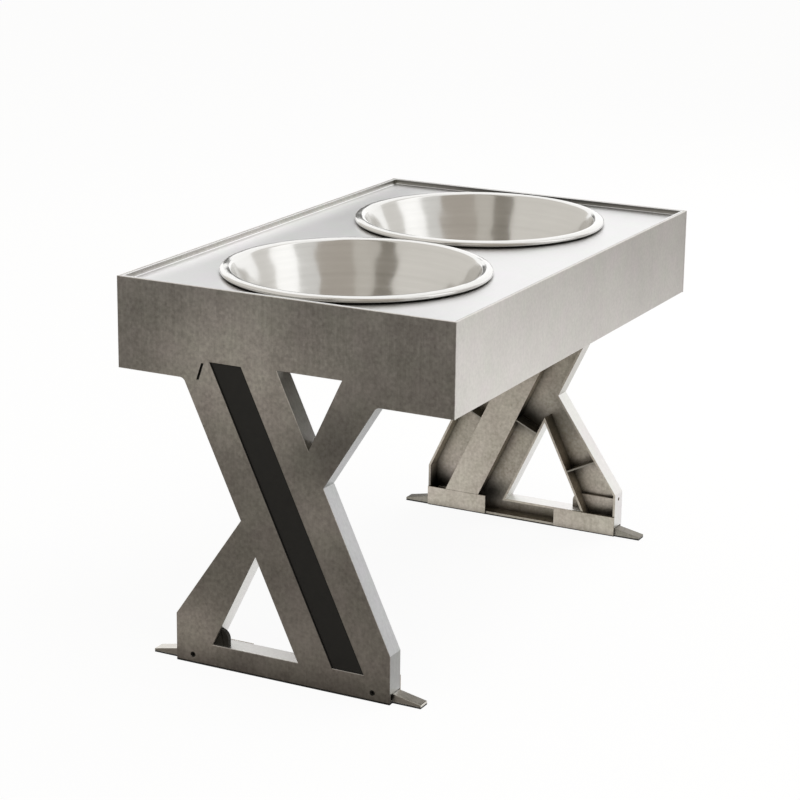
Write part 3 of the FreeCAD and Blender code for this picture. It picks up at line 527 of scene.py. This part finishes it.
# Painted shade in the corners of the legs' hollows, and painted contact shade round the bowls' lips.
LEG_CORNER_SHADE = {"shade_tone": "#403d36", "shade_tone_reach": 15.0}
DECK_CONTACT_SHADE = {"shade_tone": "#8f8e8b", "shade_tone_reach": 3.5}
MILL_ROUGHNESS = 0.48
MILL_GRAIN = 1.8
END_GRAIN = 2.4
SIDE_GRAIN = 1.0
FINE_GRAIN = 0.5
DECK_ROUGHNESS = 0.32
PRESSED_ROUGHNESS = 0.5
FOOT_ROUGHNESS = 0.32
DULLED_ROUGHNESS = 0.4

end_steel = {}
hollow_steel = {}
for end, turn in ENDS:
    # Ground sheet of the ends: grey with a cloudy mottle, which gives the matt look of a belt-ground face,
    # with the patches above, among them the painted shade of the upper arm.
    end_steel[end] = brushed_stainless(f"brushed_stainless_{end}_end", "X", "#979593", "#c1c0be",
                                       grain=END_GRAIN, patches=at_end(END_PATCHES, turn))
    # Inside of the legs as it came from the mill: duller and yellower, with painted shade in the corners and
    # painted shadow patches in the hollow.
    hollow_steel[end] = brushed_stainless(f"mill_finish_stainless_{end}", "X", "#a09a90", "#d2cdc5",
                                          roughness=MILL_ROUGHNESS, grain=MILL_GRAIN,
                                          patches=at_end(HOLLOW_PATCHES, turn), **LEG_CORNER_SHADE)
# Sides: ground along the tray and even in tone, so they mirror the bright room as one soft glow.
side_steel = brushed_stainless("brushed_stainless_side", "Y", "#c6c5c4", "#d9d8d7", grain=SIDE_GRAIN)
# Deck: the smoothest sheet, cool and nearly white, with painted contact shade round the lips and painted
# light along its left edge.
deck_steel = brushed_stainless("brushed_stainless_deck", "X", "#d3d5d9", "#dadce0",
                               roughness=DECK_ROUGHNESS, grain=FINE_GRAIN,
                               patches=(LEFT_DECK_LIGHT,), **DECK_CONTACT_SHADE)
# Upturned edges: ground on end, and painted darker than the deck they fence in, as shade, with a painted
# shadow along the back rim and painted light on the left rim.
rim_steel = brushed_stainless("brushed_stainless_rim", "Z", "#8b8b8a", "#a4a4a3", grain=SIDE_GRAIN,
                              patches=(BACK_RIM_SHADOW, LEFT_RIM_LIGHT))
# Strips, rails and angles on the inner side: mill finish, as inside the legs, with painted shade in their
# corners.
mill_steel = brushed_stainless("mill_finish_stainless", "X", "#a59f95", "#d0cbc3",
                               roughness=MILL_ROUGHNESS, grain=MILL_GRAIN, **LEG_CORNER_SHADE)
# Pressed and not polished, which is a guess: the bowls' outsides, the ribs and the feet's inner sides.
# Its darker tone is also painted shade: under the bowls' lips, over the ribs' edges and on the feet's inner
# sides.
pressed_and_shaded_steel = brushed_stainless("pressed_stainless_outside_and_painted_shade", "Z", "#84827c", "#a5a39c",
                               roughness=PRESSED_ROUGHNESS)
# Flanges: ground across the fold. Their tones differ by side as painted light and shade: those of the
# lower window and of one outer side are painted lightest, those of the other outer side cooler and darker,
# and those of the upper window take the rim's darker steel. In the real sheet they are one steel.
window_steel = brushed_stainless("brushed_stainless_window", "Y", "#dcdddf", "#ebecee", grain=FINE_GRAIN)
flange_steel = brushed_stainless("brushed_stainless_flange", "Y", "#b2b5ba", "#c6c9ce", grain=FINE_GRAIN)
# Feet: the rear pair gets a darker tone, as painted shade, and a rougher finish. The real feet may be alike.
foot_steel = {
    "front": brushed_stainless("ground_stainless_foot", "Z", "#cbc9c5", "#e0dedb",
                               roughness=FOOT_ROUGHNESS),
    "rear": brushed_stainless("painted_shade_stainless_foot", "Z", "#66625b", "#85817a",
                              roughness=DULLED_ROUGHNESS),
}
single_steels = (side_steel, deck_steel, rim_steel, mill_steel, pressed_and_shaded_steel, window_steel, flange_steel)
print("steels:", len(end_steel) + len(hollow_steel) + len(foot_steel) + len(single_steels))

# %% [markdown]
# ## Polished stainless
# The bowls are pressed from thin stainless and polished on a wheel, so they mirror the room with a faint
# ring pattern round their axis. The rings follow the distance from the bowl's own middle, which a
# Mapping node moves to the origin.

# %% Polished stainless
RING_SPACING = 1.6
RING_DETAIL = 2
RING_STRENGTH = 0.03
RING_DEPTH = 0.2
SMEAR_HEIGHT = 18.0
SMEAR_LENGTH = 40.0
SMEAR_DETAIL = 3
WAVE_SIZE = 38.0
WAVE_HEIGHT = 2.0
WAVE_DETAIL = 1
POLISH_FINEST = 0.12
POLISH_COARSEST = 0.26
POLISH_DARK = "#d2d1ce"
POLISH_LIGHT = "#e6e5e3"


def polished_stainless(name, bowl_middle):
    """Wheel-polished stainless: a near mirror with faint rings."""
    material, tree = new_material(name)
    place = add_node(tree, "TexCoord")
    centred = add_node(tree, "Mapping", {"Vector": place.outputs["Object"], "Location": -bowl_middle})
    flat = add_node(tree, "VectorMath", {0: centred.outputs[0], 1: (1, 1, 0)}, operation="MULTIPLY")
    reach = add_node(tree, "VectorMath", {0: flat.outputs[0]}, operation="LENGTH")
    rings = add_node(tree, "TexNoise", {"W": reach.outputs["Value"], "Scale": 1 / (RING_SPACING * MM),
                                        "Detail": RING_DETAIL}, noise_dimensions="1D")
    smears = stretched_noise(tree, "Z", SMEAR_HEIGHT, SMEAR_LENGTH, SMEAR_DETAIL)
    worn = add_node(tree, "Math", {0: rings.outputs[0], 1: smears}, operation="MULTIPLY")
    gloss = add_node(tree, "MapRange", {"Value": worn.outputs[0], "To Min": POLISH_FINEST,
                                        "To Max": POLISH_COARSEST})
    colour = add_node(tree, "Mix", {0: worn.outputs[0], 6: linear(POLISH_DARK), 7: linear(POLISH_LIGHT)},
                      data_type="RGBA")
    ripple = add_node(tree, "Bump", {"Height": rings.outputs[0], "Strength": RING_STRENGTH,
                                     "Distance": RING_DEPTH * MM})
    waves = stretched_noise(tree, "Z", WAVE_SIZE, WAVE_SIZE, WAVE_DETAIL)
    pressed = add_node(tree, "Bump", {"Height": waves, "Distance": WAVE_HEIGHT * MM,
                                      "Normal": ripple.outputs[0]})
    steel = add_node(tree, "BsdfPrincipled", {
        "Base Color": colour.outputs[2],
        "Metallic": 1.0,
        "Roughness": gloss.outputs[0],
        "Normal": pressed.outputs[0],
    })
    show(tree, steel.outputs[0])
    return material


print("polishing rings in mm:", RING_SPACING, "apart")

# %% [markdown]
# ## Black pieces
# The strip in each leg's slot is matt black, the strips under the legs are rubber, and the screws are
# black oxide. The one foot bracket in view at the front is dark too, as painted shade inside the leg. All
# four are dark, so the difference is in the gloss and the grain.

# %% Black finishes
SPECK_DETAIL = 5
BLOTCH_DETAIL = 2
BLOTCH_SPECKS = 12
SPECK_STRENGTH = 0.15
SPECK_DEPTH = 0.1


def black_finish(name, deep, worn, grain_size, rough_from, rough_to, metallic=0.0):
    """Dark surface with a fine grain: shade, gloss and bump all follow the same grain."""
    material, tree = new_material(name)
    blotch_size = BLOTCH_SPECKS * grain_size
    grain = stretched_noise(tree, "Z", grain_size, grain_size, SPECK_DETAIL)
    blotches = stretched_noise(tree, "Z", blotch_size, blotch_size, BLOTCH_DETAIL)
    shade = add_node(tree, "Math", {0: grain, 1: blotches}, operation="MULTIPLY")
    colour = add_node(tree, "Mix", {0: shade.outputs[0], 6: linear(deep), 7: linear(worn)}, data_type="RGBA")
    gloss = add_node(tree, "MapRange", {"Value": grain, "To Min": rough_from, "To Max": rough_to})
    relief = add_node(tree, "Bump", {"Height": grain, "Strength": SPECK_STRENGTH,
                                     "Distance": SPECK_DEPTH * MM})
    surface = add_node(tree, "BsdfPrincipled", {
        "Base Color": colour.outputs[2],
        "Metallic": metallic,
        "Roughness": gloss.outputs[0],
        "Normal": relief.outputs[0],
    })
    show(tree, surface.outputs[0])
    return material


# Powder coat: an even, flat black that swallows the light.
inlay_black = black_finish("matt_black_powder_coat", "#0e0e0c", "#211f1a", grain_size=0.6,
                           rough_from=0.45, rough_to=0.65)
# Moulded rubber: the dullest, with a coarser grain.
strip_rubber = black_finish("black_moulded_rubber", "#121211", "#2a2927", grain_size=0.9,
                            rough_from=0.65, rough_to=0.85)
# Black oxide on steel: still a little metallic, so its edges catch a glint.
screw_black = black_finish("black_oxide_steel", "#1a1a18", "#3a3935", grain_size=0.4,
                           rough_from=0.35, rough_to=0.55, metallic=0.6)
# Painted shade for the front foot's bracket: a brownish dark grey with a dull metal glint.
shaded_bracket_grey = black_finish("painted_shade_dark_steel", "#2b2a27", "#4d4b45", grain_size=0.8,
                            rough_from=0.45, rough_to=0.65, metallic=0.8)
print("dark finishes:", inlay_black.name, strip_rubber.name, screw_black.name, shaded_bracket_grey.name)

# %% [markdown]
# ## Folded sheets and bars
# A press brake leaves a small radius on every fold, and a deburring wheel one on every cut edge. Those
# thin rounds catch the light and draw the outline of a sheet. Each sheet starts from a copy of its
# construction mesh, which is loose triangles, so the copy is merged, its flat triangles are joined to
# whole faces, and a Bevel modifier rounds what is left of its edges. Weighted normals then keep the
# large faces flat to the eye and leave all of the turn to the narrow rounds.

# %% Round the edges of the sheets
MERGE_DISTANCE = 0.01 * MM
FLAT_ANGLE = math.radians(0.5)
EDGE_ANGLE = math.radians(25)
FLAT_FACE_WEIGHT = 100
SMOOTH_ANGLE = math.radians(50)
ROUND_SEGMENTS = 2
SHEET_ROUND = 0.3
INLAY_ROUND = 0.4
FOOT_ROUND = 0.5


def finished_copy(node, material, edge_round=SHEET_ROUND):
    """Merged copy of a construction node with rounded edges, which stands in for it."""
    source = frame["nodes"][node]
    piece = bpy.data.objects.new(node + "_finished", source.data.copy())
    bpy.context.scene.collection.objects.link(piece)
    pick_only(piece)
    bpy.ops.mesh.customdata_custom_splitnormals_clear()
    bpy.ops.object.mode_set(mode="EDIT")
    bpy.ops.mesh.select_all(action="SELECT")
    bpy.ops.mesh.remove_doubles(threshold=MERGE_DISTANCE)
    bpy.ops.mesh.dissolve_limited(angle_limit=FLAT_ANGLE)
    bpy.ops.object.mode_set(mode="OBJECT")
    rounding = piece.modifiers.new("Edge round", "BEVEL")
    rounding.width = edge_round * MM
    rounding.segments = ROUND_SEGMENTS
    rounding.limit_method = "ANGLE"
    rounding.angle_limit = EDGE_ANGLE
    bpy.ops.object.modifier_apply(modifier=rounding.name)
    bpy.ops.object.shade_smooth_by_angle(angle=SMOOTH_ANGLE)
    flat_faces = piece.modifiers.new("Flat faces", "WEIGHTED_NORMAL")
    flat_faces.weight = FLAT_FACE_WEIGHT
    flat_faces.keep_sharp = True
    bpy.ops.object.modifier_apply(modifier=flat_faces.name)
    piece.data.materials.clear()
    piece.data.materials.append(material)
    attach(piece, source["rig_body"])
    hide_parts(node)
    return piece


print("rounds in mm: sheets", SHEET_ROUND, "inlays", INLAY_ROUND, "feet", FOOT_ROUND)

# %% [markdown]
# ## Finish by face
# One folded sheet shows more than one finish: its outer face is ground, its inner face still has the
# mill's skin, and its flanges were ground across the fold. Some faces also get painted light and shade:
# lighter and darker flanges, a black slit and slot edge, and a dark front bracket. Each function below
# gives one material to the faces that look a certain way or lie in a certain box. Boxes are given in mm
# for the front end.

# %% Paint faces by place and direction
# How far a face may turn from a direction, as the cosine of the angle.
INWARDS = 0.5
SQUARE_TO = 0.2
FACING = 0.7
FOLD_SLANT = 0.2
UPRIGHT_SLANT = 0.75
# Places of the second and third finish in a sheet's list of materials.
HOLLOW_SIDE = 1
OPEN_FLANGE = 2
# The slot's left edge in mm: its place at the tray's bottom, its lean, and how near to it a fold lies.
EDGE_REACH = 1.2
SLOT_EDGE_TOP = -55.0
SLOT_LEAN = 0.4703
TRAY_BOTTOM = 233.0


def paint_inner_side(piece, outward, hollow_material, flange_material=None):
    """Second finish for the faces that look inwards or into the hollow, and a third for the open flanges."""
    piece.data.materials.append(hollow_material)
    piece.data.materials.append(flange_material or piece.data.materials[0])
    bpy.context.view_layer.update()
    for face in piece.data.polygons:
        facing = face.normal.dot(outward)
        covered = piece.ray_cast(face.center + face.normal * MM, outward)[0]
        if facing < -INWARDS or (facing < INWARDS and covered):
            face.material_index = HOLLOW_SIDE
        elif abs(facing) < SQUARE_TO:
            face.material_index = OPEN_FLANGE
    return piece


def paint_box(piece, low, high, material, instead_of=None):
    """Another finish for the faces whose middles lie between two corners in mm, or for one finish there."""
    piece.data.materials.append(material)
    for face in piece.data.polygons:
        place = face.center / MM
        inside = all(low[axis] <= place[axis] <= high[axis] for axis in range(3))
        if inside and instead_of in (None, face.material_index):
            face.material_index = len(piece.data.materials) - 1
    return piece


def paint_upright(piece, above, material):
    """Another finish for the faces of a piece that stand upright above a level."""
    piece.data.materials.append(material)
    for face in piece.data.polygons:
        if abs(face.normal.z) < UPRIGHT_SLANT and face.center.z > above:
            face.material_index = len(piece.data.materials) - 1
    return piece


def paint_facing(piece, heading, material):
    """Another finish for the faces of a piece that look along a heading."""
    piece.data.materials.append(material)
    for face in piece.data.polygons:
        if face.normal.dot(heading) > FACING:
            face.material_index = len(piece.data.materials) - 1
    return piece


def paint_slot_edge(panel, turn, material):
    """Painted shade: the slot's black over the fold along the slot's left edge, which hides that fold's light
    line.
    """
    panel.data.materials.append(material)
    for face in panel.data.polygons:
        place = face.center / MM
        edge = SLOT_EDGE_TOP + SLOT_LEAN * (TRAY_BOTTOM - place.z)
        if abs(turn * place.x - edge) < EDGE_REACH and turn * face.normal.x > FOLD_SLANT:
            face.material_index = len(panel.data.materials) - 1
    return panel


def turned_box(box, turn):
    """A box given for the front end, or the same box turned half round for the rear end."""
    (x0, y0, z0), (x1, y1, z1) = box
    if turn < 0:
        return (-x1, -y1, z0), (-x0, -y0, z1)
    return (x0, y0, z0), (x1, y1, z1)


print("slot's edge leans", SLOT_LEAN, "mm for each mm down")

# %% [markdown]
# ## Dress the sheets and bars
# Every sheet and bar gets its rounded copy, and then the finishes of its faces. The two ends are the same
# piece turned half round, so one loop dresses both.

# %% Dress the sheets and bars
DECK_SHEET = 2.0
SLIT_SHADE_BOX = ((-76, -229.85, 233), (-66, -228.2, 248))
BRACKET_BOX = ((-91, -228.1, 9), (-48, -223.5, 34))
WINDOW_BOX = ((-112, -227, 5), (45, -200, 160))
FLANGE_BOX = ((45, -227, 5), (112, -200, 232))
UPPER_WINDOW_BOX = ((-40, -227, 165), (35, -200, 232))
# The front bracket is painted dark as shade; the rear one takes the hollow's mill steel.
bracket_finish = {"front": shaded_bracket_grey, "rear": hollow_steel["rear"]}


def dressed_panel(end, turn):
    """End panel with a ground face, a mill finish with painted shade in its hollow, flanges in painted
    lighter and darker tones, and its slit and slot edge painted black as shade.
    """
    panel = finished_copy(f"end_panel_{end}", end_steel[end])
    paint_inner_side(panel, Vector((0, -turn, 0)), hollow_steel[end], side_steel)
    # The slit's faces are painted black as shade in the groove, and so is the fold along the slot's edge.
    paint_box(panel, *turned_box(SLIT_SHADE_BOX, turn), screw_black)
    paint_slot_edge(panel, turn, inlay_black)
    paint_box(panel, *turned_box(WINDOW_BOX, turn), window_steel, OPEN_FLANGE)
    paint_box(panel, *turned_box(FLANGE_BOX, turn), flange_steel, OPEN_FLANGE)
    paint_box(panel, *turned_box(UPPER_WINDOW_BOX, turn), rim_steel, OPEN_FLANGE)
    return panel


def dressed_foot(end, hand, turn):
    """Foot with a darker inner side, partly painted shade, and its bracket in another tone, painted dark as
    shade at the front.
    """
    foot = finished_copy(f"foot_{end}_{hand}", foot_steel[end], FOOT_ROUND)
    paint_facing(foot, Vector((0, turn, 0)), pressed_and_shaded_steel)
    paint_box(foot, *turned_box(BRACKET_BOX, turn), bracket_finish[end])
    return foot


deck = finished_copy("deck_pan", deck_steel)
paint_inner_side(deck, Vector((0, 0, 1)), mill_steel)
# The deck's upturned edges take the darker rim steel, as painted shade.
paint_upright(deck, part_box("deck_pan")[0].z + DECK_SHEET * MM, rim_steel)
finished = [deck]
for end, turn in ENDS:
    finished.append(dressed_panel(end, turn))
    finished.append(finished_copy(f"slot_cover_{end}", mill_steel))
    finished.append(finished_copy(f"base_rail_{end}", mill_steel))
    # Ribs take the darker pressed steel, which also paints shade over their edges.
    finished.append(finished_copy(f"leg_ribs_{end}", pressed_and_shaded_steel))
    finished.append(finished_copy(f"slot_inlay_{end}", inlay_black, INLAY_ROUND))
    finished.append(finished_copy(f"floor_strip_{end}", strip_rubber))
    for hand, side in HANDS:
        finished.append(dressed_foot(end, hand, turn))
        finished.append(finished_copy(f"corner_angle_{end}_{hand}", mill_steel))
for hand, side in HANDS:
    fascia = finished_copy(f"side_fascia_{hand}", side_steel)
    finished.append(paint_inner_side(fascia, Vector((side, 0, 0)), mill_steel))
    finished.append(finished_copy(f"deck_ledge_{hand}", mill_steel))
print("finished sheets and bars:", len(finished))

# %% [markdown]
# ## Bowls
# A bowl is pressed from one disc of thin steel: a flat bottom, a leaning wall, and a lip rolled outwards
# so that it hangs on the deck. It could be lofted ring by ring, but turning one section round an axis
# is how it was polished and keeps every ring true. The section runs from the axis up the inside, over
# the lip and down to the deck. Spin turns it, and Solidify gives the sheet its thickness outwards.

# %% Section of a bowl
BOWL_SHEET = 0.8
WALL_LEAN = 22.0
BASE_ROUND = 15.0
LIP_WIDTH = 9.3
LIP_RISE = 5.5
LIP_CURL = math.radians(80)
ROUND_STEPS = 10
LIP_STEPS = 18
SPIN_STEPS = 144


def arc(middle, across, up, start, stop, steps):
    """Points of an ellipse arc, with angles measured from the outward direction."""
    angles = [start + (stop - start) * step / steps for step in range(steps + 1)]
    return [Vector((middle.x + across * math.cos(a), 0, middle.z + up * math.sin(a))) for a in angles]


def bowl_section(node):
    """Inside of a bowl from its axis to the curled edge of its lip, in metres from the axis."""
    low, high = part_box(node)
    rim = (high.y - low.y) / 2
    lip_half = LIP_WIDTH * MM / 2
    lip_rise = LIP_RISE * MM / 2
    lip_middle = Vector((rim - lip_half, 0, high.z - lip_rise))
    floor_height = low.z + BOWL_SHEET * MM
    wall_height = lip_middle.z - floor_height
    lean = math.atan2(WALL_LEAN * MM, wall_height)
    lip_start = math.pi - math.atan2(lip_rise * math.tan(lean), lip_half)
    lip = arc(lip_middle, lip_half, lip_rise, lip_start, -LIP_CURL, LIP_STEPS)
    corner = lip[0].x - (lip[0].z - floor_height) * math.tan(lean)
    base_round = BASE_ROUND * MM
    reach = base_round * math.tan((UPRIGHT - lean) / 2)
    round_middle = Vector((corner - reach, 0, floor_height + base_round))
    bottom = arc(round_middle, base_round, base_round, -UPRIGHT, -lean, ROUND_STEPS)
    return [Vector((0, 0, floor_height)), *bottom, *lip]


section = bowl_section("bowl_front")
print("points in the bowl's section:", len(section))

# %% [markdown]
# The section is drawn as by hand: a plane merged to one point, moved to the axis, and extruded from point
# to point. After the spin the doubled points at the axis and the seam are merged, and the faces are made
# to agree. The lip decides their direction, so they look out of its roll and up into the bowl, and the
# sheet gets its thickness behind them.

# %% Turn the bowls
def turn_bowl(node, body):
    """Spun bowl with its sheet thickness, in place of a construction bowl."""
    low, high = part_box(node)
    axis_place = Vector(((low.x + high.x) / 2, (low.y + high.y) / 2, 0))
    lip_underside = high.z - LIP_RISE * MM
    points = bowl_section(node)
    bpy.ops.object.select_all(action="DESELECT")
    bpy.ops.mesh.primitive_plane_add(size=MM)
    bowl = keep_name(node + "_spun")
    bpy.ops.object.mode_set(mode="EDIT")
    bpy.ops.mesh.select_all(action="SELECT")
    bpy.ops.mesh.merge(type="CENTER")
    bpy.ops.transform.translate(value=axis_place + points[0])
    for last, point in zip(points, points[1:]):
        bpy.ops.mesh.extrude_vertices_move(TRANSFORM_OT_translate={"value": point - last})
    bpy.ops.mesh.select_all(action="SELECT")
    bpy.ops.mesh.spin(steps=SPIN_STEPS, angle=math.tau, center=axis_place, axis=(0, 0, 1))
    bpy.ops.mesh.select_all(action="SELECT")
    bpy.ops.mesh.remove_doubles(threshold=MERGE_DISTANCE)
    bpy.ops.mesh.normals_make_consistent(inside=False)
    bpy.ops.object.mode_set(mode="OBJECT")
    sheet = bowl.modifiers.new("Sheet", "SOLIDIFY")
    sheet.thickness = BOWL_SHEET * MM
    sheet.offset = -1
    bpy.ops.object.modifier_apply(modifier=sheet.name)
    bpy.ops.object.shade_smooth_by_angle(angle=SMOOTH_ANGLE)
    bowl.data.materials.append(polished_stainless(node + "_polished_stainless", axis_place))
    bowl.data.materials.append(pressed_and_shaded_steel)
    # Lip undersides and the bowl's outside take the darker pressed steel, which also paints the shade under
    # the lip.
    for face in bowl.data.polygons:
        face.material_index = int(face.normal.z < 0 and face.center.z < lip_underside)
    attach(bowl, body)
    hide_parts(node)
    return bowl


for end, turn in ENDS:
    bowl = turn_bowl(f"bowl_{end}", f"{end}_bowl")
    print(bowl.name, "faces:", len(bowl.data.polygons))

# %% [markdown]
# ## Foot screws
# Each foot is held by a headless screw with a hexagon socket, driven in from the face of the leg. The
# socket could be painted on as a dark spot, but cut with a Boolean it holds a real shadow. One screw is
# modelled, and the other three are copies that are moved or turned into place. The two of one end are
# joined, because the construction model has them as one node.

# %% Foot screws
SOCKET_SIZE = 2.3
SOCKET_DEPTH = 2.4
SOCKET_SIDES = 6
SCREW_STEPS = 40
SCREW_EDGE = 0.25


def turned_screw(node):
    """One headless screw at the left of a node's pair, with its socket cut and its ends broken."""
    low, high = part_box(node)
    radius = (high.z - low.z) / 2
    middle = Vector((low.x + radius, (low.y + high.y) / 2, (low.z + high.z) / 2))
    bpy.ops.object.select_all(action="DESELECT")
    bpy.ops.mesh.primitive_cylinder_add(vertices=SCREW_STEPS, radius=radius, depth=high.y - low.y,
                                        location=middle, rotation=(UPRIGHT, 0, 0))
    screw = keep_name("foot_screw")
    bpy.ops.object.transform_apply(location=True, rotation=True, scale=True)
    bpy.ops.mesh.primitive_cylinder_add(vertices=SOCKET_SIDES, radius=SOCKET_SIZE * MM / 2,
                                        depth=2 * SOCKET_DEPTH * MM, location=(middle.x, low.y, middle.z),
                                        rotation=(UPRIGHT, 0, 0))
    cutter = keep_name("socket_cutter")
    bpy.ops.object.transform_apply(location=True, rotation=True, scale=True)
    pick_only(screw)
    socket = screw.modifiers.new("Socket", "BOOLEAN")
    socket.operation = "DIFFERENCE"
    socket.object = cutter
    bpy.ops.object.modifier_apply(modifier=socket.name)
    bpy.data.objects.remove(cutter)
    edge = screw.modifiers.new("Broken edge", "BEVEL")
    edge.width = SCREW_EDGE * MM
    edge.segments = ROUND_SEGMENTS
    edge.limit_method = "ANGLE"
    edge.angle_limit = SMOOTH_ANGLE
    bpy.ops.object.modifier_apply(modifier=edge.name)
    bpy.ops.object.shade_smooth_by_angle(angle=EDGE_ANGLE)
    screw.data.materials.append(screw_black)
    return screw


def screw_pair(screw, node, turn):
    """Two copies of the screw, joined, in place of a node's pair."""
    low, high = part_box("foot_screws_front")
    across = high.x - low.x - (high.z - low.z)
    copies = []
    for shift in (0, across):
        copy = bpy.data.objects.new(node + "_turned", screw.data.copy())
        bpy.context.scene.collection.objects.link(copy)
        pick_only(copy)
        bpy.ops.transform.translate(value=(shift, 0, 0))
        if turn < 0:
            bpy.ops.transform.rotate(value=math.pi, orient_axis="Z", center_override=(0, 0, 0))
        bpy.ops.object.transform_apply(location=True, rotation=True, scale=True)
        copies.append(copy)
    for copy in copies:
        copy.select_set(True)
    bpy.ops.object.join()
    pair = bpy.context.active_object
    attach(pair, "stand")
    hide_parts(node)
    return pair


one_screw = turned_screw("foot_screws_front")
for end, turn in ENDS:
    pair = screw_pair(one_screw, f"foot_screws_{end}", turn)
    print(pair.name, "faces:", len(pair.data.polygons))
bpy.data.objects.remove(one_screw)
